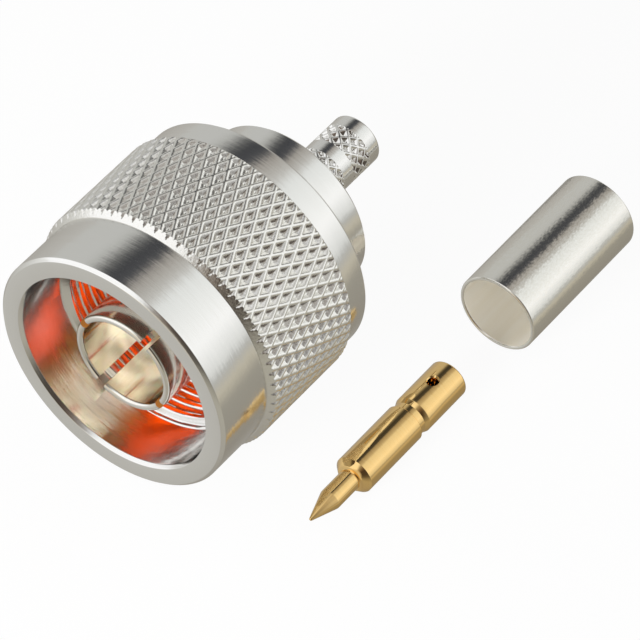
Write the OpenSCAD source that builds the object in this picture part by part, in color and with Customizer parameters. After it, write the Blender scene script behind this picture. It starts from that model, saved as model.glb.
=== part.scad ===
// N-type coaxial cable plug for crimping, lying on its side with its centre
// contact and its crimp ferrule laid out beside it, ready to assemble.
//
// The connector's axis is the Y axis. The origin is the centre of the coupling
// nut's mouth, the cable leaves towards +Y and +Z is up. Lengths along the axis
// are measured from the mouth. The thread inside the nut is a plain bore here.

/* [Coupling nut] */
// Length of the nut along its axis
nut_len = 16.35; // [15.8:0.05:20]
// Diameter of the smooth band at the mouth
front_band_d = 19.5; // [19.3:0.05:20.3]
// Length of the smooth band at the mouth
front_band_len = 4.85; // [3:0.05:6]
// Diameter of the smooth band at the rear
rear_band_d = 19.65; // [19.3:0.05:20.3]
// Length of the smooth band at the rear
rear_band_len = 2.1; // [1.2:0.05:3]
// Chamfer on the outer edges of the two bands
band_chamfer = 0.25; // [0.1:0.05:0.5]
// Bevel round the mouth of the bore
mouth_chamfer = 0.2; // [0.1:0.05:0.4]

/* [Nut knurl] */
// Diameter over the ridges of the diamond knurl
knurl_d = 20.46; // [20.4:0.02:21.5]
// Depth of the pits between the ridges
knurl_depth = 0.42; // [0.2:0.02:0.5]
// Number of ridge crossings in one row round the nut
knurl_teeth = 65; // [40:1:80]
// Number of half cells along the knurl
knurl_rows = 9; // [5:1:12]
// Turn of the first row of crossings about the axis, in degrees
knurl_turn = 3.2; // [0:0.1:6]
// Length of the sloping run-out at each end of the knurl
knurl_runout = 0.24; // [0.1:0.02:0.5]
// Width of the turned relief groove at each end of the knurl
relief_w = 0.12; // [0.06:0.02:0.3]
// Depth of the relief grooves below the bottom of the pits
relief_depth = 0.3; // [0.2:0.05:0.5]

/* [Nut bore] */
// Diameter of the smooth counterbore behind the mouth
counterbore_d = 16.0; // [15.9:0.05:16.6]
// Depth of the counterbore
counterbore_len = 4.25; // [3:0.05:5]
// Bore at the crests of the 5/8-24 thread
thread_bore_d = 14.88; // [14.8:0.02:15.2]
// Length of the thread
thread_len = 5.5; // [4:0.1:6]
// Diameter of the run-out behind the thread
runout_d = 16.0; // [15.9:0.05:16.4]
// Length of the rear lip that runs on the body
lip_len = 2.85; // [2.6:0.05:3.6]

/* [Connector body] */
// Diameter of the hub that shows behind the nut
hub_d = 13.6; // [13.2:0.05:14]
// How far the hub stands out behind the nut
hub_proud = 4.05; // [2:0.05:6]
// Diameter of the shoulder that the nut's lip pulls on
shoulder_d = 14.6; // [14.3:0.02:14.7]
// Thickness of the shoulder
shoulder_len = 1.9; // [1.2:0.05:2.4]
// Length of the crimp stub behind the hub
stub_len = 8.0; // [6:0.1:12]
// Diameter of the crimp stub
stub_d = 4.08; // [3.9:0.02:4.4]
// Bore of the crimp stub, which the centre contact and dielectric pass through
stub_bore_d = 3.16; // [3.1:0.02:3.4]
// Rounding of the stub's end
stub_round = 0.2; // [0.1:0.05:0.3]

/* [Stub knurl] */
// Ridge crossings in one row round the stub
stub_teeth = 13; // [9:1:18]
// Half cells along one band of the stub's knurl
stub_rows = 4; // [2:1:6]
// Depth of the stub's pits
stub_knurl_depth = 0.24; // [0.1:0.02:0.26]
// Length of one knurled band on the stub
stub_band_len = 1.95; // [1.5:0.05:2.1]
// Spacing of the knurled bands along the stub
stub_band_pitch = 2.95; // [2.6:0.05:3.2]
// Plain length at the stub's end
stub_plain_len = 1.2; // [0.6:0.05:1.6]
// Turn of the stub's knurl about the axis, in degrees
stub_turn = 4; // [0:1:27]

/* [Outer contact] */
// Outside diameter of the slotted outer contact
contact_od = 8.16; // [8.04:0.02:8.2]
// Bore of the outer contact in front of the insulator
contact_bore_d = 7.0; // [6.9:0.02:7.1]
// Depth of the contact's rim behind the nut's mouth
contact_recess = 1.15; // [0.6:0.05:2]
// Rounding of the contact's rim
rim_round = 0.2; // [0.1:0.02:0.26]
// Width of the slots between the spring fingers
slot_w = 0.7; // [0.4:0.05:1]
// Length of the slots
slot_len = 5.6; // [4:0.1:7]
// Turn of the slots about the axis, in degrees
slot_turn = 58; // [0:1:89]
// Diameter of the collar that is pressed into the body
collar_d = 9.6; // [9:0.1:11]
// Length of the collar
collar_len = 2; // [1:0.1:3]

/* [Gasket, insulator and ring] */
// Thickness of the face gasket
gasket_t = 1.2; // [0.8:0.05:1.5]
// Outside diameter of the face gasket
gasket_od = 14.7; // [14:0.05:14.76]
// Diameter of the step that holds the insulator
insulator_d = 7.4; // [7.2:0.05:7.6]
// Length of the insulator in front of the shoulder's face
insulator_front = 2.6; // [1:0.1:4]
// Length of the insulator behind the shoulder's face
insulator_rear = 4.1; // [3.4:0.1:5]
// Length of the lip inside the insulator that snaps into the contact's neck
snap_len = 0.55; // [0.3:0.05:0.6]
// Thickness of the retaining ring
ring_t = 0.9; // [0.7:0.05:1]
// How far the retaining ring stands out of the hub
ring_proud = 0.5; // [0.4:0.05:0.6]
// Depth of the ring's groove in the hub
ring_groove_depth = 0.7; // [0.5:0.05:0.9]
// Width of the gap in the retaining ring
ring_gap = 2.4; // [1:0.1:4]
// Distance from the lip's inner face to the retaining ring
ring_inset = 0.75; // [0.6:0.05:0.9]

/* [Centre contact] */
// Diameter of the pin that enters the jack
pin_d = 1.66; // [1.6:0.01:1.68]
// Length of the pin's cone
pin_cone_len = 2.3; // [1.5:0.05:3]
// Diameter of the pin's blunt tip
pin_tip_d = 0.26; // [0.15:0.01:0.4]
// Distance from the tip to the shoulder
pin_len = 4.6; // [4:0.05:5.5]
// Diameter of the contact's barrels
barrel_d = 3.04; // [2.9:0.01:3.06]
// Chamfer at the front of the front barrel
barrel_chamfer = 0.4; // [0.2:0.02:0.5]
// Distance from the tip to the neck
neck_y = 11.1; // [10:0.05:12]
// Length of the neck at its full depth
neck_len = 0.65; // [0.6:0.05:1]
// Diameter of the neck
neck_d = 2.7; // [2.4:0.02:2.8]
// Length of the cone from the neck up to the rear barrel
neck_cone_len = 0.35; // [0.1:0.05:0.5]
// Overall length of the centre contact
centre_len = 16.5; // [15.5:0.05:18]
// Bore for the cable's centre conductor
wire_bore_d = 1.0; // [0.9:0.02:1.4]
// Depth of the wire bore
wire_bore_len = 3.8; // [3:0.1:4.5]
// Diameter of the inspection hole
inspect_d = 0.8; // [0.5:0.05:0.9]
// Distance from the inspection hole to the rear end
inspect_inset = 2.05; // [1.5:0.05:2.5]

/* [Crimp ferrule] */
// Outside diameter of the ferrule
ferrule_od = 6.42; // [6.2:0.02:6.8]
// Wall of the ferrule
ferrule_wall = 0.3; // [0.2:0.02:0.5]
// Length of the ferrule
ferrule_len = 12.65; // [10:0.05:16]
// Rounding of the ferrule's edges
ferrule_round = 0.08; // [0.04:0.01:0.1]

/* [Layout] */
// Gap between the nut and the ferrule's row
row_gap = 0.9; // [0.4:0.1:6]
// Distance from the nut's mouth to the centre contact's tip
tip_y = 3.6; // [0:0.1:8]
// Gap between the centre contact's rear end and the ferrule
ferrule_gap = 5.7; // [1:0.1:9]

/* [Fits] */
// Radial running clearance between the nut's lip and the hub
running_gap = 0.06; // [0.02:0.01:0.1]
// Axial play of the nut on the body
axial_play = 0.1; // [0.05:0.01:0.2]
// Radial gap of pressed pieces
press_gap = 0.01; // [0:0.01:0.02]
// Radial gap between the gasket and the outer contact
gasket_gap = 0.4; // [0.2:0.05:0.8]

/* [Hidden] */
$fn = 96;

silver = "#c9c9c6";
gold = "#d9b050";

// Knurl of the nut
crest_r = knurl_d / 2;
pit_r = crest_r - knurl_depth;
relief_r = pit_r - relief_depth;
knurl_y0 = front_band_len + relief_w;
knurl_y1 = nut_len - rear_band_len - relief_w;

// Inside of the nut
thread_end = counterbore_len + thread_len;
lip_y = nut_len - lip_len;
lip_r = hub_d / 2 + running_gap;
bore_chamfer = (runout_d - thread_bore_d) / 2;
lip_chamfer = 0.2;

// Body, placed by the nut's lip
seat_y = lip_y - axial_play - shoulder_len;
shoulder_y = seat_y + shoulder_len;
hub_end = nut_len + hub_proud;
stub_end = hub_end + stub_len;
insulator_y = seat_y - insulator_front;
insulator_end = seat_y + insulator_rear;
insulator_r = insulator_d / 2;
face_gap = 0.1;
contact_play = 0.03;
entry_step = 0.6;
collar_end = seat_y + collar_len;
hub_chamfer = 0.25;

// Retaining ring, half in the hub's groove and half in the lip's
ring_y = lip_y + ring_inset;
ring_play = 0.05;
ring_groove_r = hub_d / 2 - ring_groove_depth;
ring_ir = ring_groove_r + ring_play;
ring_r = hub_d / 2 + ring_proud;
nut_groove_r = ring_r + 4 * ring_play;

// Knurl of the stub
stub_crest_r = stub_d / 2;
stub_pit_r = stub_crest_r - stub_knurl_depth;
stub_relief_w = 0.06;
stub_relief_r = stub_pit_r - 0.02;
stub_knurl_end = stub_end - stub_plain_len;
stub_bands = 2;

// Loose pieces, which rest on the same surface as the nut
floor_z = -crest_r;
row_x = crest_r + row_gap + ferrule_od / 2;
ferrule_y = tip_y + centre_len + ferrule_gap;

// Points of a quarter turn or other arc, as [radius, position along the axis]
function arc(r, y, size, from, to, steps = 6) = [
    for (i = [0 : steps])
        let (a = from + (to - from) * i / steps)
            [r + size * cos(a), y + size * sin(a)]
];

// A turned piece: the half section is [radius, position along the axis]
module turned(section) {
    rotate([-90, 0, 0])
        rotate_extrude()
            polygon(section);
}

// A diamond knurl as a hollow sleeve. Every other point of the grid is a
// crossing of two ridges and the others are the bottoms of the pits, so each
// ridge runs unbroken from one end of the sleeve to the other.
module knurl(y0, y1, top_r, low_r, end_r, inner_r, teeth, rows, runout, turn) {
    n = 2 * teeth;
    step = (y1 - y0 - 2 * runout) / rows;
    ys = concat([y0], [for (j = [0 : rows]) y0 + runout + j * step], [y1]);
    last = len(ys) - 1;
    function ridge(i, k) = (i + k) % 2 == 1;
    function radius(i, k) =
        k == 0 || k == last ? end_r : ridge(i, k) ? top_r : low_r;
    function ring(k, r) = [
        for (i = [0 : n - 1])
            let (a = turn + i * 180 / teeth)
                [(is_undef(r) ? radius(i, k) : r) * cos(a),
                 ys[k], (is_undef(r) ? radius(i, k) : r) * sin(a)]
    ];
    function at(i, k) = k * n + i % n;
    inside = (last + 1) * n;
    points = concat(
        [for (k = [0 : last]) each ring(k)],
        ring(0, inner_r),
        ring(last, inner_r)
    );
    outer = [
        for (k = [0 : last - 1], i = [0 : n - 1])
            each ridge(i, k)
                ? [[at(i, k), at(i + 1, k + 1), at(i, k + 1)],
                   [at(i, k), at(i + 1, k), at(i + 1, k + 1)]]
                : [[at(i, k), at(i + 1, k), at(i, k + 1)],
                   [at(i + 1, k), at(i + 1, k + 1), at(i, k + 1)]]
    ];
    inner = [
        for (i = [0 : n - 1])
            [inside + i, inside + n + i,
             inside + n + (i + 1) % n, inside + (i + 1) % n]
    ];
    ends = [
        for (i = [0 : n - 1])
            each [[at(i, 0), inside + i, inside + (i + 1) % n, at(i + 1, 0)],
                  [at(i, last), at(i + 1, last),
                   inside + n + (i + 1) % n, inside + n + i]]
    ];
    polyhedron(points, concat(outer, inner, ends), convexity = 6);
}

// Turned and knurled nut that draws the plug onto the jack
module coupling_nut() {
    front_r = front_band_d / 2;
    rear_r = rear_band_d / 2;
    bore_r = counterbore_d / 2;
    thread_r = thread_bore_d / 2;
    color(silver) {
        turned([
            [bore_r + mouth_chamfer, 0],
            [front_r - band_chamfer, 0],
            [front_r, band_chamfer],
            [front_r, front_band_len],
            [relief_r, front_band_len],
            [relief_r, nut_len - rear_band_len],
            [rear_r, nut_len - rear_band_len],
            [rear_r, nut_len - band_chamfer],
            [rear_r - band_chamfer, nut_len],
            [lip_r + lip_chamfer, nut_len],
            [lip_r, nut_len - lip_chamfer],
            [lip_r, ring_y + ring_t + 2 * ring_play],
            [nut_groove_r, ring_y + ring_t + 2 * ring_play],
            [nut_groove_r, ring_y - 2 * ring_play],
            [lip_r, ring_y - 2 * ring_play],
            [lip_r, lip_y],
            [runout_d / 2, lip_y],
            [runout_d / 2, thread_end + bore_chamfer],
            [thread_r, thread_end],
            [thread_r, counterbore_len + bore_r - thread_r],
            [bore_r, counterbore_len],
            [bore_r, mouth_chamfer]
        ]);
        knurl(knurl_y0, knurl_y1, crest_r, pit_r, pit_r, relief_r - 0.25,
            knurl_teeth, knurl_rows, knurl_runout, knurl_turn);
    }
}

// Turned body: shoulder, hub and crimp stub in one piece
module connector_body() {
    hub_r = hub_d / 2;
    function band_y(i) = stub_knurl_end - i * stub_band_pitch;
    color(silver)
        union() {
            turned(concat(
                [[stub_bore_d / 2, insulator_end],
                 [insulator_r, insulator_end],
                 [insulator_r, collar_end],
                 [collar_d / 2 + press_gap, collar_end],
                 [collar_d / 2 + press_gap, seat_y],
                 [shoulder_d / 2, seat_y],
                 [shoulder_d / 2, shoulder_y],
                 [hub_r, shoulder_y],
                 [hub_r, ring_y - ring_play],
                 [ring_groove_r, ring_y - ring_play],
                 [ring_groove_r, ring_y + ring_t + ring_play],
                 [hub_r, ring_y + ring_t + ring_play],
                 [hub_r, hub_end - hub_chamfer],
                 [hub_r - hub_chamfer, hub_end],
                 [stub_crest_r, hub_end]],
                [for (i = [stub_bands - 1 : -1 : 0])
                    each [[stub_crest_r, band_y(i) - stub_band_len],
                          [stub_relief_r, band_y(i) - stub_band_len],
                          [stub_relief_r, band_y(i)],
                          [stub_crest_r, band_y(i)]]],
                arc(stub_crest_r - stub_round, stub_end - stub_round,
                    stub_round, 0, 90),
                [[stub_bore_d / 2, stub_end]]
            ));
            for (i = [0 : stub_bands - 1])
                knurl(band_y(i) - stub_band_len + stub_relief_w,
                    band_y(i) - stub_relief_w,
                    stub_crest_r, stub_pit_r, stub_crest_r,
                    (stub_relief_r + stub_bore_d / 2) / 2,
                    stub_teeth, stub_rows, stub_relief_w, stub_turn);
        }
}

// Slotted spring sleeve that enters the jack's outer contact
module outer_contact() {
    outer_r = contact_od / 2;
    inner_r = contact_bore_d / 2;
    color("#d8d8d4")
        difference() {
            turned(concat(
                [[insulator_r, collar_end],
                 [insulator_r, insulator_y - face_gap],
                 [inner_r, insulator_y - face_gap],
                 [inner_r, contact_recess + rim_round]],
                arc(inner_r + rim_round, contact_recess + rim_round,
                    rim_round, 180, 270),
                arc(outer_r - rim_round, contact_recess + rim_round,
                    rim_round, 270, 360),
                [[outer_r, seat_y],
                 [collar_d / 2, seat_y],
                 [collar_d / 2, collar_end]]
            ));
            for (turn = [0, 90])
                rotate([0, -slot_turn - turn, 0])
                    translate([-contact_od, 0, -slot_w / 2])
                        cube([2 * contact_od, contact_recess + slot_len, slot_w]);
        }
}

// Moulded silicone ring that seals against the jack's front face
module face_gasket() {
    round_r = gasket_t / 5;
    inner_r = contact_od / 2 + gasket_gap;
    color("#e0431c")
        turned(concat(
            [[inner_r, seat_y]],
            [[inner_r, seat_y - gasket_t]],
            arc(gasket_od / 2 - round_r, seat_y - gasket_t + round_r,
                round_r, 270, 360),
            [[gasket_od / 2, seat_y]]
        ));
}

// Turned fluoropolymer bead that centres and holds the centre contact
module front_insulator() {
    bead_r = insulator_r - press_gap;
    guide_r = barrel_d / 2 + contact_play;
    snap_r = neck_d / 2 + contact_play;
    entry_r = stub_bore_d / 2 + entry_step;
    snap_y = insulator_end - 2 * snap_len;
    color("#f3f3ee")
        turned([
            [guide_r, insulator_y],
            [bead_r, insulator_y],
            [bead_r, insulator_end],
            [entry_r, insulator_end],
            [entry_r, snap_y + snap_len],
            [snap_r, snap_y + snap_len],
            [snap_r, snap_y],
            [guide_r, snap_y]
        ]);
}

// Split spring ring that holds the nut on the body
module retaining_ring() {
    color("#b98a4a")
        difference() {
            turned([
                [ring_ir, ring_y],
                [ring_r, ring_y],
                [ring_r, ring_y + ring_t],
                [ring_ir, ring_y + ring_t]
            ]);
            translate([-ring_gap / 2, ring_y - ring_t, 0])
                cube([ring_gap, 3 * ring_t, 2 * ring_r]);
        }
}

// Gold plated pin that is crimped to the cable's centre conductor
module centre_contact() {
    barrel_r = barrel_d / 2;
    tip_r = pin_tip_d / 2;
    collar_r = barrel_r - barrel_chamfer;
    rear_round = 0.2;
    step_len = (collar_r - pin_d / 2) / 2;
    color(gold)
        translate([row_x, tip_y, floor_z + barrel_r])
            difference() {
                turned(concat(
                    [[0, 0]],
                    arc(0, tip_r, tip_r, -60, -20, 3),
                    [[pin_d / 2, pin_cone_len],
                     [pin_d / 2, pin_len],
                     [collar_r, pin_len + step_len],
                     [barrel_r, pin_len + step_len + barrel_chamfer],
                     [barrel_r, neck_y],
                     [neck_d / 2, neck_y + 0.05],
                     [neck_d / 2, neck_y + neck_len],
                     [barrel_r, neck_y + neck_len + neck_cone_len]],
                    arc(barrel_r - rear_round, centre_len - rear_round,
                        rear_round, 0, 90),
                    [[wire_bore_d / 2, centre_len],
                     [wire_bore_d / 2, centre_len - wire_bore_len],
                     [0, centre_len - wire_bore_len - wire_bore_d / 4]]
                ));
                translate([0, centre_len - inspect_inset, 0])
                    cylinder(h = barrel_d, d = inspect_d);
            }
}

// Thin tube that is crimped over the cable's braid on the stub
module crimp_ferrule() {
    outer_r = ferrule_od / 2;
    inner_r = outer_r - ferrule_wall;
    in0 = ferrule_round;
    in1 = ferrule_len - ferrule_round;
    color("#d2cfc4")
        translate([row_x, ferrule_y, floor_z + outer_r])
            turned(concat(
                arc(inner_r + ferrule_round, in1, ferrule_round, 180, 90, 3),
                arc(outer_r - ferrule_round, in1, ferrule_round, 90, 0, 3),
                arc(outer_r - ferrule_round, in0, ferrule_round, 0, -90, 3),
                arc(inner_r + ferrule_round, in0, ferrule_round, 270, 180, 3)
            ));
}

coupling_nut();
connector_body();
outer_contact();
face_gasket();
front_insulator();
retaining_ring();
centre_contact();
crimp_ferrule();
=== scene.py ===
"""The looks of an N-type coaxial crimp plug: coupling nut, body, contacts, gasket, loose pin and ferrule.

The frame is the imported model: metres, the connector's axis on Y, its mouth at the origin, the cable towards +Y.
"""

import math

import bmesh
import bpy
import numpy as np
from mathutils import Matrix, Vector


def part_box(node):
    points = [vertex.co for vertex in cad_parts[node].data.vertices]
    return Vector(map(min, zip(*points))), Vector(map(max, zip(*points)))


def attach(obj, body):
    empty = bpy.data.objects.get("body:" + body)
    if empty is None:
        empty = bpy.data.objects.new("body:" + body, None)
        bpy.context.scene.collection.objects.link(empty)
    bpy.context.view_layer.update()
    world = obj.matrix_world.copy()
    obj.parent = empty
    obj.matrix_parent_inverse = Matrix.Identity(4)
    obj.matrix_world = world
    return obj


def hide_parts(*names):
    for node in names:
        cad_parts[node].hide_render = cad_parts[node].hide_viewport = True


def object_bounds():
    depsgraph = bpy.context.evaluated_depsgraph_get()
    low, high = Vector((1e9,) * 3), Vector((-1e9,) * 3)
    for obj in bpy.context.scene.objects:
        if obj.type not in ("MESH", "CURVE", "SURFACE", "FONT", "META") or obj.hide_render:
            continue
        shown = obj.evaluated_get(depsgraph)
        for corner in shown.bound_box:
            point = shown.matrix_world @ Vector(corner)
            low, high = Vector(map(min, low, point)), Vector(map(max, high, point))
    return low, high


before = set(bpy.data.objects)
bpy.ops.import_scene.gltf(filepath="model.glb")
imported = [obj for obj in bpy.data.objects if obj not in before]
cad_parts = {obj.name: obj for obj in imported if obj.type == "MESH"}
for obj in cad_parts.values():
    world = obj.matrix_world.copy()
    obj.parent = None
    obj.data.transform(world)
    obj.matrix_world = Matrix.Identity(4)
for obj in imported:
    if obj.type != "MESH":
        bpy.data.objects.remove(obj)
cad_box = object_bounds()

# =====================================================================================================
# Coupling nut
# A free-turning brass nut, turned and bored from bar, with a diamond knurl rolled between two smooth
# bands and a 5/8-24 thread inside. It is plated with a pale tin-copper-zinc alloy over the tool marks.
# =====================================================================================================
MM = 0.001
NUT_LENGTH = 16.35
BAND_FRONT_R = 9.745
BAND_FRONT_END = 4.87
BAND_REAR_R = 9.815
BAND_REAR_START = 14.14
BAND_CHAMFER = 0.24
MOUTH_INNER_R = 8.19
MOUTH_BEVEL = 0.3
BORE_R = 8.0
COUNTERBORE_END = 4.25
RING_GROOVE_FRONT = 14.1
RING_GROOVE_BACK = 15.3
RING_GROOVE_R = 7.5
LIP_FRONT = 13.5
LIP_R = 6.86
LIP_BEVEL = 0.2
SLEEVE_R = 9.42
NUT_COLUMNS = 360

THREAD_CREST_R = 7.44
THREAD_ROOT_R = 7.94
THREAD_PITCH = 25.4 / 24
THREAD_END = 9.75
THREAD_RUN_OUT = 0.5
THREAD_ROOT_HALF = 0.06
THREAD_FLANK = 0.33
THREAD_ROWS = 22

KNURL_CREST_R = 10.23
KNURL_TEETH = 65
KNURL_PERIOD = 1.90
KNURL_FIRST_ROW = 4.92
KNURL_TURN = math.radians(3.25)
KNURL_DEPTH = 0.32
KNURL_END = 13.98
KNURL_STEPS = 16
KNURL_FINE_ROWS = 8
KNURL_FRONT_STEP = 0.03
KNURL_REAR_STEP = 0.1
KNURL_SINK = 0.05
RIDGE_SHARPNESS = 1.15


def eased(section, size=0.04, steps=3):
    """The closed half section with each sharp corner taken off by a small curve, as tumbling and plating leave it."""
    points = [np.array(p, float) for p in section]
    out = []
    for i, p in enumerate(points):
        before, after = points[i - 1] - p, points[(i + 1) % len(points)] - p
        lengths = np.linalg.norm(before), np.linalg.norm(after)
        cut = min(size, 0.4 * min(lengths))
        a, b = p + before / lengths[0] * cut, p + after / lengths[1] * cut
        for k in range(steps + 1):
            t = k / steps
            out.append((1 - t) ** 2 * a + 2 * t * (1 - t) * p + t * t * b)
    return np.array(out)


def turned(radius, turn, along):
    """Points at these radii and angles round the Y axis and these places along it, in millimetres."""
    radius, turn, along = np.broadcast_arrays(radius, turn, along)
    return np.stack([radius * np.cos(turn), along, radius * np.sin(turn)], axis=-1)


def full_turn(columns, first_turn=0.0):
    return first_turn + np.arange(columns) * 2 * np.pi / columns


def rings(section, columns, first_turn=0.0):
    """A ring of points round the Y axis for each [radius, position] of a half section."""
    section = np.asarray(section, float)
    return turned(section[:, :1], full_turn(columns, first_turn), section[:, 1:])


def skin(name, rows, sharp=32.0, other_way=None, closed=True):
    """One skin through rows of points round an axis: a ring, or, where it isn't closed, a solid with both ends on it.

    other_way says which squares are split along their second diagonal. Edges above sharp degrees stay sharp.
    """
    rows = np.asarray(rows, float) * MM
    count, columns = rows.shape[:2]
    here = np.arange(count * columns).reshape(count, columns)
    side = np.roll(here, -1, axis=1)
    above = np.roll(here, -1, axis=0)
    corner = np.roll(side, -1, axis=0)
    if other_way is None:
        faces = np.stack([here, side, corner, above], axis=-1).reshape(-1, 4).tolist()
    else:
        way = other_way[..., None]
        first = np.where(way, np.stack([here, side, corner], -1), np.stack([here, side, above], -1))
        second = np.where(way, np.stack([here, corner, above], -1), np.stack([side, corner, above], -1))
        faces = np.concatenate([first.reshape(-1, 3), second.reshape(-1, 3)]).tolist()
    if not closed:
        faces = faces[: (count - 1) * columns]
    mesh = bpy.data.meshes.new(name)
    mesh.from_pydata(rows.reshape(-1, 3).tolist(), [], faces)
    work = bmesh.new()
    work.from_mesh(mesh)
    if not closed:
        bmesh.ops.remove_doubles(work, verts=work.verts, dist=1e-8)
    bmesh.ops.recalc_face_normals(work, faces=work.faces)
    work.to_mesh(mesh)
    work.free()
    mesh.shade_smooth()
    mesh.set_sharp_from_angle(angle=math.radians(sharp))
    piece = bpy.data.objects.new(name, mesh)
    bpy.context.scene.collection.objects.link(piece)
    return piece


def diamond_depth(turn, along, teeth, period, first_row, first_turn, depth):
    """Depth below the crests of a rolled diamond knurl: two crossing families of rounded helical ridges."""
    across = teeth * (turn - first_turn) / (2 * np.pi)
    up = (along - first_row) / period
    rising, falling = across - up, across + up
    to_ridge = np.minimum(np.abs(falling - np.round(falling)), np.abs(rising - np.round(rising)))
    return depth * (0.5 * (1 - np.cos(2 * np.pi * to_ridge))) ** RIDGE_SHARPNESS


def nut_bore_rows(columns):
    """The threaded bore from its run-out to the counterbore: a real helix, one turn of it every pitch."""
    turn = full_turn(columns)
    back = THREAD_END + THREAD_RUN_OUT
    rows = []
    for y in np.arange(back, COUNTERBORE_END - 1e-6, -THREAD_PITCH / THREAD_ROWS):
        phase = (y / THREAD_PITCH - turn / (2 * np.pi)) % 1.0
        flank = np.clip((np.abs(phase - 0.5) - THREAD_ROOT_HALF) / THREAD_FLANK, 0, 1)
        flank = flank * flank * (3 - 2 * flank)
        radius = THREAD_ROOT_R - (THREAD_ROOT_R - THREAD_CREST_R) * flank
        radius = np.maximum(radius, BORE_R - (y - COUNTERBORE_END))
        radius = np.maximum(radius, BORE_R - (back - y))
        rows.append(turned(radius, turn, y))
    return np.array(rows)


outside = eased([
    [BORE_R, 0.5 * COUNTERBORE_END], [BORE_R, MOUTH_BEVEL], [MOUTH_INNER_R, 0],
    [BAND_FRONT_R - BAND_CHAMFER, 0], [BAND_FRONT_R, BAND_CHAMFER], [BAND_FRONT_R, BAND_FRONT_END],
    [SLEEVE_R, BAND_FRONT_END], [SLEEVE_R, BAND_REAR_START], [BAND_REAR_R, BAND_REAR_START],
    [BAND_REAR_R, NUT_LENGTH - BAND_CHAMFER], [BAND_REAR_R - BAND_CHAMFER, NUT_LENGTH],
    [LIP_R + LIP_BEVEL, NUT_LENGTH], [LIP_R, NUT_LENGTH - LIP_BEVEL],
    [LIP_R, RING_GROOVE_BACK], [RING_GROOVE_R, RING_GROOVE_BACK],
    [RING_GROOVE_R, RING_GROOVE_FRONT], [LIP_R, RING_GROOVE_FRONT], [LIP_R, LIP_FRONT], [BORE_R, LIP_FRONT],
], size=0.03)
nut_shell = skin("nut_shell", np.concatenate([rings(outside, NUT_COLUMNS), nut_bore_rows(NUT_COLUMNS)]))

# The knurl is a sleeve of its own on the shell. Its rows are closer at the front, where the run-in cuts the ridges
# off in a row of teeth.
columns = KNURL_TEETH * KNURL_STEPS
turn = full_turn(columns, KNURL_TURN)
fine = KNURL_PERIOD / KNURL_STEPS
last_row = int((KNURL_END - KNURL_FIRST_ROW) / fine)
levels = [BAND_FRONT_END] + [KNURL_FIRST_ROW + 0.5 * fine * k for k in range(KNURL_FINE_ROWS)]
levels += [KNURL_FIRST_ROW + fine * k for k in range(KNURL_FINE_ROWS // 2, last_row + 1)] + [KNURL_END]
TURN, ALONG = np.meshgrid(turn, np.array(levels))
radius = KNURL_CREST_R - diamond_depth(
    TURN, ALONG, KNURL_TEETH, KNURL_PERIOD, KNURL_FIRST_ROW, KNURL_TURN, KNURL_DEPTH)
radius = np.minimum(radius, BAND_FRONT_R + KNURL_FRONT_STEP + (ALONG - BAND_FRONT_END))
radius = np.minimum(radius, KNURL_CREST_R - KNURL_REAR_STEP + (KNURL_END - ALONG))
front_ring, back_ring = (turned(SLEEVE_R - KNURL_SINK, turn, y) for y in (BAND_FRONT_END, KNURL_END))
knurl_rows = np.concatenate([[front_ring], turned(radius, TURN, ALONG), [back_ring]])

# Each small square is split along the ridge that crosses it, so that the ridges stay straight and sharp.
middle = (knurl_rows[:, :1, 1] + np.roll(knurl_rows[:, :1, 1], -1, axis=0)) / 2
step_up = (middle - KNURL_FIRST_ROW) / fine
step_across = np.arange(columns)[None, :] + 0.5
falling, rising = (step_across + step_up) / KNURL_STEPS, (step_across - step_up) / KNURL_STEPS
near_falling, near_rising = np.abs(falling - np.round(falling)), np.abs(rising - np.round(rising))
nut_knurl = skin("nut_knurl", knurl_rows, sharp=25.0, other_way=near_rising < near_falling)


def linear(colour):
    """An sRGB hex colour as the linear values that shaders take."""
    parts = [int(colour[i : i + 2], 16) / 255 for i in (1, 3, 5)]
    return [p / 12.92 if p <= 0.04045 else ((p + 0.055) / 1.055) ** 2.4 for p in parts] + [1.0]


def put(tree, kind, settings=None, links=None):
    """Adds a node: settings go on its properties or sockets, links are {input: (node, output)}."""
    made = tree.nodes.new(kind)
    for key, value in (settings or {}).items():
        if isinstance(key, str) and hasattr(made, key) and key not in made.inputs:
            setattr(made, key, value)
        else:
            made.inputs[key].default_value = value
    for key, (source, output) in (links or {}).items():
        tree.links.new(source.outputs[output], made.inputs[key])
    return made


def bare_tree(owner):
    """The empty node tree of a new material or world."""
    owner.use_nodes = True
    owner.node_tree.nodes.clear()
    return owner.node_tree


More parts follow.
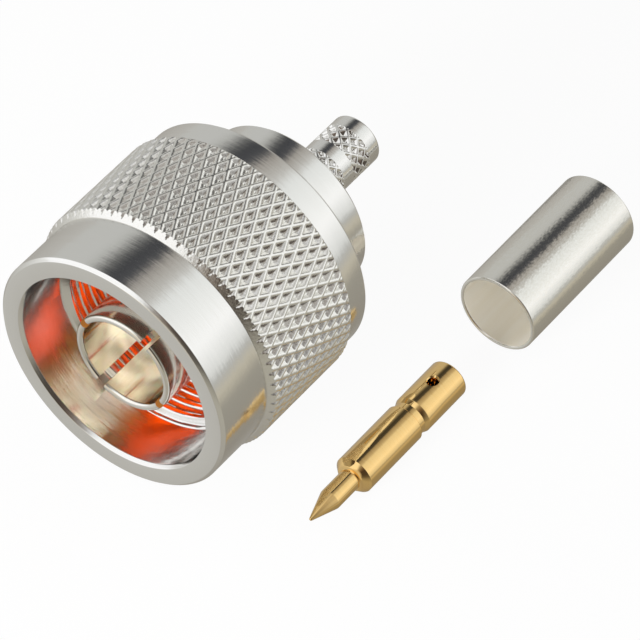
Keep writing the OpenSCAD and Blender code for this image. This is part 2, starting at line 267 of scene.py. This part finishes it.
def plated(name, colour, roughness, along_mm=0.13, round_mm=2.5, depth_mm=0.002, sway=0.3, grain_depth_mm=0.002,
           tint="#FFFFFF", metallic=1.0, turn_deg=0.0):
    """Bright plating over tool marks, with fine pits between them.

    The marks are along_mm by round_mm: short and wide from a lathe, long and thin from drawing or reaming. They tilt
    the gloss along the axis and sway it round the axis, which frays the edge of a reflection. Real marks are too fine
    to show, so all of them are drawn coarser.
    turn_deg leans the shading round the axis. Nothing in the metal does that: it is a correction that moves the
    streaks on the loose pieces.
    """
    material = bpy.data.materials.new(name)
    tree = bare_tree(material)
    marked = [c * t for c, t in zip(linear(colour), linear(tint))]
    marks_scale = [1 / (round_mm * MM), 1 / (along_mm * MM), 1 / (round_mm * MM)]
    grain_scale = [1 / (0.3 * MM)] * 3
    lean = math.tan(math.radians(turn_deg))
    place = put(tree, "ShaderNodeTexCoord")
    lines_at = put(tree, "ShaderNodeMapping", {"Scale": marks_scale}, {"Vector": (place, "Object")})
    lines = put(tree, "ShaderNodeTexNoise", {"Scale": 1.0, "Detail": 3.0, "Roughness": 0.6}, {"Vector": (lines_at, 0)})
    grain_at = put(tree, "ShaderNodeMapping", {"Scale": grain_scale}, {"Vector": (place, "Object")})
    grain = put(tree, "ShaderNodeTexNoise", {"Scale": 1.0, "Detail": 2.0}, {"Vector": (grain_at, 0)})
    shade = put(tree, "ShaderNodeMix", {"data_type": "RGBA", 6: linear(colour), 7: marked}, {0: (lines, 0)})
    rough = put(tree, "ShaderNodeMapRange", {"To Min": roughness * 0.85, "To Max": roughness * 1.2},
                {"Value": (lines, 0)})
    face = put(tree, "ShaderNodeNewGeometry")
    round_way = put(tree, "ShaderNodeVectorMath", {"operation": "CROSS_PRODUCT", 1: (0, 1, 0)}, {0: (face, "Normal")})
    swing = put(tree, "ShaderNodeMapRange", {"To Min": lean - sway, "To Max": lean + sway}, {"Value": (lines, 0)})
    aside = put(tree, "ShaderNodeVectorMath", {"operation": "SCALE"}, {0: (round_way, 0), 3: (swing, 0)})
    swayed = put(tree, "ShaderNodeVectorMath", {"operation": "ADD"}, {0: (face, "Normal"), 1: (aside, 0)})
    whole = put(tree, "ShaderNodeVectorMath", {"operation": "NORMALIZE"}, {0: (swayed, 0)})
    marks = put(tree, "ShaderNodeBump", {"Strength": 1.0, "Distance": depth_mm * MM},
                {"Height": (lines, 0), "Normal": (whole, 0)})
    pits = put(tree, "ShaderNodeBump", {"Strength": 1.0, "Distance": grain_depth_mm * MM},
               {"Height": (grain, 0), "Normal": (marks, 0)})
    shader = put(tree, "ShaderNodeBsdfPrincipled", {"Metallic": metallic},
                 {"Base Color": (shade, 2), "Roughness": (rough, 0), "Normal": (pits, 0)})
    put(tree, "ShaderNodeOutputMaterial", None, {"Surface": (shader, 0)})
    return material


def dress(piece, *materials):
    """Gives a piece its materials. Clearing an empty list would forget which face takes which, so it is left alone."""
    if len(piece.data.materials):
        piece.data.materials.clear()
    for material in materials:
        piece.data.materials.append(material)


# White bronze over fine turning: a bright grey-white whose streaks run along the axis and fray at their ends.
nut_plating = plated("white_bronze_plated_brass", "#F7F7F6", 0.15, along_mm=0.07, round_mm=3.0, sway=0.07,
                     grain_depth_mm=0.003, tint="#FCFBF9")
# The rolled ridges have no turning lines, only the grain of the rolls, which makes their sides glitter.
knurl_plating = plated("white_bronze_plated_knurl", "#FBFBFA", 0.2, along_mm=0.16, round_mm=0.16, depth_mm=0.011,
                       sway=0.1, tint="#F8F6F1")
for piece, plating in ((nut_shell, nut_plating), (nut_knurl, knurl_plating)):
    dress(piece, plating)
    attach(piece, "nut")
    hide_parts("coupling_nut")

# =====================================================================================================
# Connector body
# One brass turning behind the nut: the shoulder the nut pulls on, the smooth hub and the crimp stub,
# whose two bands are diamond knurled to hold the braid. Plated like the nut.
# =====================================================================================================
SEAT_Y = 11.5
SEAT_R = 4.81
INSULATOR_STEP_Y = 13.5
INSULATOR_STEP_R = 3.7
INSULATOR_END = 15.6
SHOULDER_R = 7.3
SHOULDER_END = 13.4
HUB_GROOVE_FRONT = 14.2
HUB_GROOVE_BACK = 15.2
HUB_GROOVE_R = 6.1
HUB_R = 6.8
HUB_END = 20.4
HUB_CHAMFER = 0.25
STUB_R = 2.04
STUB_END = 28.4
STUB_ROUND = 0.2
STUB_BORE_R = 1.58
STUB_BORE_EDGE = 0.05
STUB_TEETH = 13
STUB_PERIOD = 0.86
STUB_BANDS = ((22.3, 24.2), (25.28, 27.17))
STUB_BAND_EDGE = 0.06
STUB_TURN = math.radians(4)
STUB_DEPTH = 0.28
STUB_STEPS = 24

lead = [[STUB_BORE_R, INSULATOR_END], [INSULATOR_STEP_R, INSULATOR_END], [INSULATOR_STEP_R, INSULATOR_STEP_Y],
        [SEAT_R, INSULATOR_STEP_Y], [SEAT_R, SEAT_Y], [SHOULDER_R, SEAT_Y], [SHOULDER_R, SHOULDER_END],
        [HUB_R, SHOULDER_END], [HUB_R, HUB_GROOVE_FRONT], [HUB_GROOVE_R, HUB_GROOVE_FRONT],
        [HUB_GROOVE_R, HUB_GROOVE_BACK], [HUB_R, HUB_GROOVE_BACK], [HUB_R, HUB_END - HUB_CHAMFER],
        [HUB_R - HUB_CHAMFER, HUB_END], [STUB_R, HUB_END], [STUB_R, STUB_BANDS[0][0] - 0.1]]
tail = [[STUB_R, STUB_BANDS[1][1] + 0.1]]
tail += [[STUB_R - STUB_ROUND + STUB_ROUND * math.cos(t), STUB_END - STUB_ROUND + STUB_ROUND * math.sin(t)]
         for t in np.linspace(0, math.pi / 2, 8)]
tail += [[STUB_BORE_R + STUB_BORE_EDGE, STUB_END], [STUB_BORE_R, STUB_END - STUB_BORE_EDGE]]
columns = STUB_TEETH * STUB_STEPS
fine = STUB_PERIOD / STUB_STEPS
levels = np.arange(STUB_BANDS[0][0], STUB_BANDS[1][1] + fine, fine)
TURN, ALONG = np.meshgrid(full_turn(columns, STUB_TURN), levels)
ridges = diamond_depth(TURN, ALONG, STUB_TEETH, STUB_PERIOD, STUB_BANDS[1][0], STUB_TURN, STUB_DEPTH)
bite = np.zeros_like(ALONG)
for start, end in STUB_BANDS:
    bite = np.maximum(bite, np.clip(np.minimum(ALONG - start, end - ALONG) / STUB_BAND_EDGE, 0, 1) * ridges)
plug_body = skin("plug_body", np.concatenate([
    rings(lead, columns, STUB_TURN), turned(STUB_R - bite, TURN, ALONG), rings(tail, columns, STUB_TURN)]), sharp=30.0)
dress(plug_body, nut_plating)
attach(plug_body, "plug")
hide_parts("connector_body")

# =====================================================================================================
# Outer contact
# The slotted spring sleeve inside the nut, turned from spring bronze, its rim rounded and silver plated
# so that it slides into the jack.
# =====================================================================================================
CONTACT_R = 4.08
CONTACT_BORE_R = 3.5
CONTACT_BORE_END = 8.8
CONTACT_RIM = 1.15
CONTACT_RIM_ROUND = 0.27
CONTACT_COLUMNS = 176
FINGER_COLUMNS = 44
SLOT_END = 6.75
SLOT_WIDTH = 0.7
SLOT_TURN = math.radians(58)
COLLAR_R = 4.8
SILVER_FACE, BORE_FACE, SAWN_FACE = 0, 1, 2
down_the_bore = CONTACT_BORE_R + 0.01


def finger(section, slot_turn, columns):
    """One spring finger: its half section carried round from one saw cut to the next, whose sides are parallel."""
    points, count = [], len(section)
    for radius, along in section:
        edge = math.asin(SLOT_WIDTH / 2 / radius)
        for t in np.linspace(slot_turn + edge, slot_turn + math.pi / 2 - edge, columns):
            points.append((radius * math.cos(t), along, radius * math.sin(t)))

    def at(i, j):
        return (i % count) * columns + j

    faces, kinds = [], []
    for i in range(count):
        in_bore = section[i][0] < down_the_bore and section[(i + 1) % count][0] < down_the_bore
        kinds += [BORE_FACE if in_bore else SILVER_FACE] * (columns - 1)
        faces += [(at(i, j), at(i, j + 1), at(i + 1, j + 1), at(i + 1, j)) for j in range(columns - 1)]
    faces += [tuple(at(i, 0) for i in range(count)), tuple(at(i, columns - 1) for i in reversed(range(count)))]
    return points, faces, kinds + [SAWN_FACE, SAWN_FACE]


rim = []
for middle_r, first, last in ((CONTACT_BORE_R + CONTACT_RIM_ROUND, math.pi, 1.5 * math.pi),
                              (CONTACT_R - CONTACT_RIM_ROUND, 1.5 * math.pi, 2 * math.pi)):
    for t in np.linspace(first, last, 8):
        rim.append([middle_r + CONTACT_RIM_ROUND * math.cos(t), CONTACT_RIM + CONTACT_RIM_ROUND * (1 + math.sin(t))])
finger_section = [[CONTACT_BORE_R, SLOT_END]] + rim + [[CONTACT_R, SLOT_END]]
root_section = [[CONTACT_BORE_R, SLOT_END], [CONTACT_R, SLOT_END], [CONTACT_R, SEAT_Y], [COLLAR_R, SEAT_Y],
                [COLLAR_R, INSULATOR_STEP_Y], [INSULATOR_STEP_R, INSULATOR_STEP_Y],
                [INSULATOR_STEP_R, CONTACT_BORE_END], [CONTACT_BORE_R, CONTACT_BORE_END]]
contact_sleeve = skin("contact_sleeve", rings(root_section, CONTACT_COLUMNS))
work = bmesh.new()
work.from_mesh(contact_sleeve.data)
for face in work.faces:
    outermost = max(math.hypot(v.co.x, v.co.z) for v in face.verts)
    face.material_index = BORE_FACE if outermost < down_the_bore * MM else SILVER_FACE
for k in range(4):
    points, faces, kinds = finger(finger_section, SLOT_TURN + k * math.pi / 2, FINGER_COLUMNS)
    made = [work.verts.new([c * MM for c in p]) for p in points]
    for corners, kind in zip(faces, kinds):
        face = work.faces.new([made[c] for c in corners])
        face.material_index = kind
        face.smooth = True
bmesh.ops.recalc_face_normals(work, faces=work.faces)
work.to_mesh(contact_sleeve.data)
work.free()
contact_sleeve.data.set_sharp_from_angle(angle=math.radians(30))

# Silver gives a white and fairly sharp mirror.
silver = plated("silver_plated_spring_bronze", "#FAF9F6", 0.11, depth_mm=0.001, sway=0.1, tint="#FBF8F2")
# Down the bore the plating is thinner and a little warm, and reamer lines run along it.
thin_silver = plated("thin_silver_in_the_bore", "#F8F6F1", 0.15, along_mm=9.0, round_mm=0.14, depth_mm=0.0015,
                     sway=0.1, grain_depth_mm=0.0, tint="#F0EBE2")
# The saw cuts are drawn as bare bronze, orange and matt from the saw, and only half as a metal, so that their colour
# shows where nothing bright faces them.
sawn_bronze = plated("sawn_bronze", "#D79A4E", 0.5, along_mm=0.1, round_mm=0.1, metallic=0.5)
dress(contact_sleeve, silver, thin_silver, sawn_bronze)
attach(contact_sleeve, "plug")
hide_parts("outer_contact")

# =====================================================================================================
# Face gasket
# A moulded silicone ring on the shoulder that seals against the jack's rim. Its orange fills the bore.
# =====================================================================================================
def moulded(name, colour, roughness, subsurface, grain_mm, grain_depth_mm, shade_colour):
    """A moulded or turned polymer: slightly uneven colour, and a grain drawn coarser than the real one to show."""
    material = bpy.data.materials.new(name)
    tree = bare_tree(material)
    place = put(tree, "ShaderNodeTexCoord")
    at = put(tree, "ShaderNodeMapping", {"Scale": [1 / (grain_mm * MM)] * 3}, {"Vector": (place, "Object")})
    grain = put(tree, "ShaderNodeTexNoise", {"Scale": 1.0, "Detail": 3.0}, {"Vector": (at, 0)})
    shade = put(tree, "ShaderNodeMix", {"data_type": "RGBA", 6: linear(colour), 7: linear(shade_colour)},
                {0: (grain, 0)})
    skin_marks = put(tree, "ShaderNodeBump", {"Strength": 1.0, "Distance": grain_depth_mm * MM}, {"Height": (grain, 0)})
    shader = put(tree, "ShaderNodeBsdfPrincipled",
                 {"Roughness": roughness, "Subsurface Weight": subsurface, "Subsurface Scale": 0.0006, "IOR": 1.41,
                  "Specular IOR Level": 0.2},
                 {"Base Color": (shade, 2), "Normal": (skin_marks, 0)})
    put(tree, "ShaderNodeOutputMaterial", None, {"Surface": (shader, 0)})
    return material


# Silicone is matt and strongly coloured all through, so it tints everything that faces it.
dress(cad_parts["face_gasket"], moulded("silicone_rubber", "#DE4802", 0.5, 0.0, 0.4, 0.004, "#D64001"))

# =====================================================================================================
# Front insulator
# A turned PTFE bead that centres the pin in the outer contact. It is waxy white and lets a little light in.
# =====================================================================================================
dress(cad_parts["front_insulator"], moulded("ptfe", "#EAE3D4", 0.42, 0.3, 0.3, 0.002, "#E2D9C8"))

# =====================================================================================================
# Retaining ring
# A split ring of bare spring bronze, half in the hub's groove and half in the nut's lip.
# =====================================================================================================
# Bare bronze is a duller, browner metal than the plating round it.
dress(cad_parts["retaining_ring"], plated("spring_bronze", "#C08A54", 0.3, tint="#E0C0A0"))

# =====================================================================================================
# Centre contact
# The loose pin, turned from brass and gold plated: a long cone, a barrel, a neck that the insulator
# snaps into and a rear barrel with an inspection hole for the solder or crimp.
# =====================================================================================================
PIN_TIP = 3.6
PIN_REAR = 16.5
PIN_POINT_R = 0.13
PIN_R = 0.83
PIN_CONE_END = 2.36
PIN_SHANK_END = 4.64
PIN_FACE_R = 1.13
PIN_FACE_Y = 4.75
PIN_BARREL_R = 1.52
PIN_BARREL_Y = 5.16
PIN_NECK_Y = 11.1
PIN_NECK_R = 1.35
PIN_REAR_ROUND = 0.2
PIN_BORE_R = 0.5
PIN_BORE_EDGE = 0.05
PIN_BORE_DEPTH = 3.8
PIN_HOLE_R = 0.4
PIN_HOLE_Y = PIN_REAR - 2.05
PIN_HOLE_SINK = 0.13
PIN_COLUMNS = 160
PIN_SHARP = 24.0

low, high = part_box("centre_contact")
pin_x, pin_z = (low[0] + high[0]) / 2 / MM, (low[2] + high[2]) / 2 / MM
tip = [[PIN_POINT_R * math.cos(t), PIN_POINT_R + PIN_POINT_R * math.sin(t)]
       for t in np.linspace(-math.pi / 2, -0.3, 7)]
neck = [[PIN_BARREL_R, PIN_NECK_Y - 0.02], [PIN_BARREL_R - 0.03, PIN_NECK_Y + 0.02],
        [PIN_NECK_R + 0.02, PIN_NECK_Y + 0.05], [PIN_NECK_R, PIN_NECK_Y + 0.08], [PIN_NECK_R, PIN_NECK_Y + 0.63],
        [PIN_NECK_R + 0.02, PIN_NECK_Y + 0.67], [PIN_BARREL_R - 0.02, PIN_NECK_Y + 0.97],
        [PIN_BARREL_R, PIN_NECK_Y + 1.02]]
# Close rows round the inspection hole keep the cut clean.
barrel = [[PIN_BARREL_R, y] for y in np.arange(PIN_HOLE_Y - 0.7, PIN_HOLE_Y + 0.71, 0.07)]
rear = [[PIN_BARREL_R - PIN_REAR_ROUND + PIN_REAR_ROUND * math.cos(t),
         PIN_REAR - PIN_REAR_ROUND + PIN_REAR_ROUND * math.sin(t)] for t in np.linspace(0, math.pi / 2, 9)]
pin_section = [[0, 0]] + tip[1:] + [
    [PIN_R - 0.02, PIN_CONE_END - 0.1], [PIN_R, PIN_CONE_END], [PIN_R, PIN_SHANK_END],
    [PIN_R + 0.03, PIN_SHANK_END + 0.03], [PIN_FACE_R - 0.05, PIN_FACE_Y - 0.03], [PIN_FACE_R, PIN_FACE_Y],
    [PIN_BARREL_R - 0.03, PIN_BARREL_Y - 0.05], [PIN_BARREL_R, PIN_BARREL_Y]] + neck + barrel + rear + [
    [PIN_BORE_R + PIN_BORE_EDGE, PIN_REAR], [PIN_BORE_R, PIN_REAR - PIN_BORE_EDGE],
    [PIN_BORE_R, PIN_REAR - PIN_BORE_DEPTH], [0, PIN_REAR - PIN_BORE_DEPTH - 0.2]]


def lying(section, columns, x, y, z):
    """Rings for a loose turned piece that lies along Y with its front end at y and its axis at x and z."""
    return rings(section, columns) + np.array([x, y, z])


gold_pin = skin("gold_pin", lying(pin_section, PIN_COLUMNS, pin_x, PIN_TIP, pin_z), sharp=PIN_SHARP, closed=False)
sink_start = PIN_BARREL_R - PIN_HOLE_SINK
drill_section = [[0, 0], [PIN_HOLE_R, 0], [PIN_HOLE_R, sink_start], [PIN_HOLE_R + 0.3, sink_start + 0.3],
                 [0, PIN_BARREL_R + 0.3]]
drill = skin("inspection_drill", rings(drill_section, 64), closed=False)
drill.rotation_euler = (math.pi / 2, 0, 0)
drill.location = (pin_x * MM, (PIN_TIP + PIN_HOLE_Y) * MM, pin_z * MM)
drilled = gold_pin.modifiers.new("inspection_hole", "BOOLEAN")
drilled.object = drill
drilled.solver = "EXACT"
bpy.context.view_layer.update()
cut_mesh = bpy.data.meshes.new_from_object(gold_pin.evaluated_get(bpy.context.evaluated_depsgraph_get()))
gold_pin.modifiers.clear()
gold_pin.data = cut_mesh
gold_pin.data.set_sharp_from_angle(angle=math.radians(PIN_SHARP))
bpy.data.objects.remove(drill)

# Gold is the smoothest finish here: a clear mirror with hardly any tool marks.
gold = plated("gold_plated_brass", "#FFDD9C", 0.06, along_mm=0.12, round_mm=1.2, depth_mm=0.0005, sway=0.03,
              grain_depth_mm=0.0003, turn_deg=4.5, tint="#FFF4E0")
dress(gold_pin, gold)
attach(gold_pin, "plug")
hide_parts("centre_contact")

# =====================================================================================================
# Crimp ferrule
# A short length of thin drawn copper tube, tin plated, which is crimped over the braid on the stub.
# =====================================================================================================
FERRULE_R = 3.21
FERRULE_WALL = 0.3
FERRULE_LENGTH = 12.65
FERRULE_ROUND = 0.13
FERRULE_COLUMNS = 180
bore_r = FERRULE_R - FERRULE_WALL

low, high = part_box("crimp_ferrule")
ferrule_x, ferrule_y, ferrule_z = (low[0] + high[0]) / 2 / MM, low[1] / MM, (low[2] + high[2]) / 2 / MM
# The wall's four corners: the middle of each rounding, and the angles in degrees that it runs between.
wall_corners = [[bore_r + FERRULE_ROUND, FERRULE_LENGTH - FERRULE_ROUND, 180, 90],
                [FERRULE_R - FERRULE_ROUND, FERRULE_LENGTH - FERRULE_ROUND, 90, 0],
                [FERRULE_R - FERRULE_ROUND, FERRULE_ROUND, 0, -90],
                [bore_r + FERRULE_ROUND, FERRULE_ROUND, 270, 180]]
tube_section = []
for middle_r, middle_y, first, last in wall_corners:
    for t in np.radians(np.linspace(first, last, 6)):
        tube_section.append([middle_r + FERRULE_ROUND * math.cos(t), middle_y + FERRULE_ROUND * math.sin(t)])
crimp_tube = skin("crimp_tube", lying(tube_section, FERRULE_COLUMNS, ferrule_x, ferrule_y, ferrule_z), sharp=40.0)
work = bmesh.new()
work.from_mesh(crimp_tube.data)
for face in work.faces:
    outermost = max(math.hypot(v.co.x - ferrule_x * MM, v.co.z - ferrule_z * MM) for v in face.verts)
    face.material_index = int(outermost < (bore_r + 0.02) * MM)
work.to_mesh(crimp_tube.data)
work.free()

# Tin is bright outside, where the tube was barrel plated against its neighbours, with a fine satin grain.
tin = plated("tin_plated_copper", "#F8F8F6", 0.16, along_mm=0.25, round_mm=0.12, depth_mm=0.002, sway=0.12,
             grain_depth_mm=0.003, turn_deg=6, tint="#F8F4EC")
# Inside it stays dull and greyish cream, with the long lines of the drawing plug. It is less than half a metal here,
# for the soft light that a dull skin scatters.
dull_tin = plated("dull_tin_in_the_bore", "#FBFAF6", 0.3, along_mm=14.0, round_mm=0.9, depth_mm=0.003, sway=0.3,
                  grain_depth_mm=0.0, tint="#EFE9DC", metallic=0.4)
dress(crimp_tube, tin, dull_tin)
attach(crimp_tube, "plug")
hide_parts("crimp_ferrule")

# =====================================================================================================
# Studio
# A pale floor, a light tent round it and one softbox. The tent is white above, with a dark slot between
# its two sheets and a dark side towards the camera, which bright metal needs to show its shape.
# =====================================================================================================
scene = bpy.context.scene
scene.view_settings.view_transform = "Standard"

# Each pair is a height round the connector's axis in degrees, from below (-90) through the right (0) and overhead
# (90) to the left (180), and the colour of the tent's sheet there, behind the object and in front of it.
TENT_BACK = (
    (-180, "#B4B2AD"), (-80, "#8E897F"), (-28, "#969287"), (-14, "#BDB6A4"), (-4, "#A9A9A6"), (3, "#D6D7D4"),
    (28, "#F8F8F7"), (45, "#EDEEEC"), (72, "#DDDFDD"), (82, "#B8B6B1"), (98, "#9A958E"), (105, "#46474A"),
    (118, "#3A3B3E"), (126, "#5C5C5B"), (138, "#AFAFAB"), (146, "#B9B9B6"), (180, "#B8B8B4"),
)
TENT_FRONT = (
    (-180, "#E6E6E3"), (-165, "#CCCCC8"), (-119, "#B4B2AC"), (-88, "#9F9B93"), (-30, "#A7A396"), (-12, "#908C80"),
    (4, "#625D55"), (20, "#4B453F"), (48, "#483E38"), (62, "#6A5C52"), (80, "#9B9690"), (92, "#E8E9E8"),
    (100, "#FAFAFA"), (174, "#FAFAFB"),
)
# The colours are those that the plating gives back, which is this share of the tent's light.
METAL_SHARE = 0.92

world = bpy.data.worlds.new("light_tent")
scene.world = world
tree = bare_tree(world)
towards = put(tree, "ShaderNodeTexCoord")
parts = put(tree, "ShaderNodeSeparateXYZ", None, {0: (towards, "Generated")})
round_axis = put(tree, "ShaderNodeMath", {"operation": "ARCTAN2"}, {0: (parts, "Z"), 1: (parts, "X")})
share = put(tree, "ShaderNodeMapRange", {"From Min": -math.pi, "From Max": math.pi}, {"Value": (round_axis, 0)})
sides = []
for stops in (TENT_BACK, TENT_FRONT):
    sheet = put(tree, "ShaderNodeValToRGB", None, {"Fac": (share, 0)})
    elements = sheet.color_ramp.elements
    while len(elements) < len(stops):
        elements.new(0.5)
    for element, (angle, colour) in zip(elements, stops):
        element.position = (angle + 180) / 360
    for element, (angle, colour) in zip(elements, stops):
        element.color = [c / METAL_SHARE for c in linear(colour)[:3]] + [1.0]
    sides.append(sheet)
back, front = sides
# The two sheets blend where a direction is nearly square to the axis.
facing = put(tree, "ShaderNodeMapRange", {"From Min": 0.25, "From Max": -0.25}, {"Value": (parts, "Y")})
sheets = put(tree, "ShaderNodeMix", {"data_type": "RGBA"}, {0: (facing, 0), 6: (back, 0), 7: (front, 0)})
# Straight in front of the mouth hangs a cream panel, which the flat front faces reflect.
mouth_on = put(tree, "ShaderNodeMapRange", {"From Min": -0.87, "From Max": -0.93}, {"Value": (parts, "Y")})
tent = put(tree, "ShaderNodeMix", {"data_type": "RGBA", 7: linear("#D8D0BE")}, {0: (mouth_on, 0), 6: (sheets, 2)})
# The camera sees a plain white backdrop in place of the tent.
seen = put(tree, "ShaderNodeLightPath")
backdrop = put(tree, "ShaderNodeMix", {"data_type": "RGBA", 7: [1, 1, 1, 1]},
               {0: (seen, "Is Camera Ray"), 6: (tent, 2)})
glow = put(tree, "ShaderNodeBackground", {"Strength": 1.0}, {"Color": (backdrop, 2)})
put(tree, "ShaderNodeOutputWorld", None, {"Surface": (glow, 0)})

# The floor is white paper, nearly all of it lit from below, so that only a trace of shadow shows. It is hidden from
# reflections, which take the tent's lower half in its place.
FLOOR_SIDE_M = 3.0
FLOOR_GAP = 0.02
FLOOR_GLOW = 0.99
FLOOR_MATT_SHARE = 0.05
low, high = cad_box
bpy.ops.mesh.primitive_plane_add(size=FLOOR_SIDE_M, location=(0, 0, low[2] - FLOOR_GAP * MM))
floor = bpy.context.object
floor.name = "pale_floor"
paper = bpy.data.materials.new("white_paper")
tree = bare_tree(paper)
lit = put(tree, "ShaderNodeEmission", {"Color": [1, 1, 1, 1], "Strength": FLOOR_GLOW})
matt = put(tree, "ShaderNodeBsdfDiffuse", {"Color": [0.9, 0.9, 0.9, 1]})
both = put(tree, "ShaderNodeMixShader", {0: FLOOR_MATT_SHARE}, {1: (lit, 0), 2: (matt, 0)})
put(tree, "ShaderNodeOutputMaterial", None, {"Surface": (both, 0)})
dress(floor, paper)
floor.visible_glossy = False

# One softbox in front of the mouth lights the gasket and the insulator. It is hidden from reflections too.
softbox = bpy.data.lights.new("softbox", "AREA")
softbox.shape = "DISK"
softbox.size = 0.16
softbox.energy = 2.1
lamp = bpy.data.objects.new("softbox", softbox)
scene.collection.objects.link(lamp)
lamp.location = (0.0, -0.28, 0.06)
inside_the_bore = Vector((0, 0.005, 0))
lamp.rotation_euler = (inside_the_bore - lamp.location).to_track_quat("-Z", "Y").to_euler()
lamp.visible_glossy = False

# The camera stands high in front of the mouth, on the side of +X, far off with a long lens. Its stand is given in
# millimetres along its own right, down and forward directions.
AZIMUTH, ELEVATION = math.radians(36.79), math.radians(47.579)
STAND_RIGHT, STAND_DOWN, STAND_AHEAD = 14.340, -3.746, -343.026
right = Vector((math.cos(AZIMUTH), math.sin(AZIMUTH), 0))
down = Vector((math.sin(AZIMUTH) * math.sin(ELEVATION), -math.cos(AZIMUTH) * math.sin(ELEVATION),
               -math.cos(ELEVATION)))
ahead = Vector((-math.sin(AZIMUTH) * math.cos(ELEVATION), math.cos(AZIMUTH) * math.cos(ELEVATION),
                -math.sin(ELEVATION)))
stand = (STAND_RIGHT * right + STAND_DOWN * down + STAND_AHEAD * ahead) * MM
lens = bpy.data.cameras.new("camera")
lens.sensor_width = 36
lens.lens = 281.25
lens.clip_start = 0.01
lens.clip_end = 20
camera = bpy.data.objects.new("camera", lens)
scene.collection.objects.link(camera)
camera.matrix_world = Matrix((
    (right.x, -down.x, -ahead.x, stand.x),
    (right.y, -down.y, -ahead.y, stand.y),
    (right.z, -down.z, -ahead.z, stand.z),
    (0, 0, 0, 1),
))
scene.camera = camera
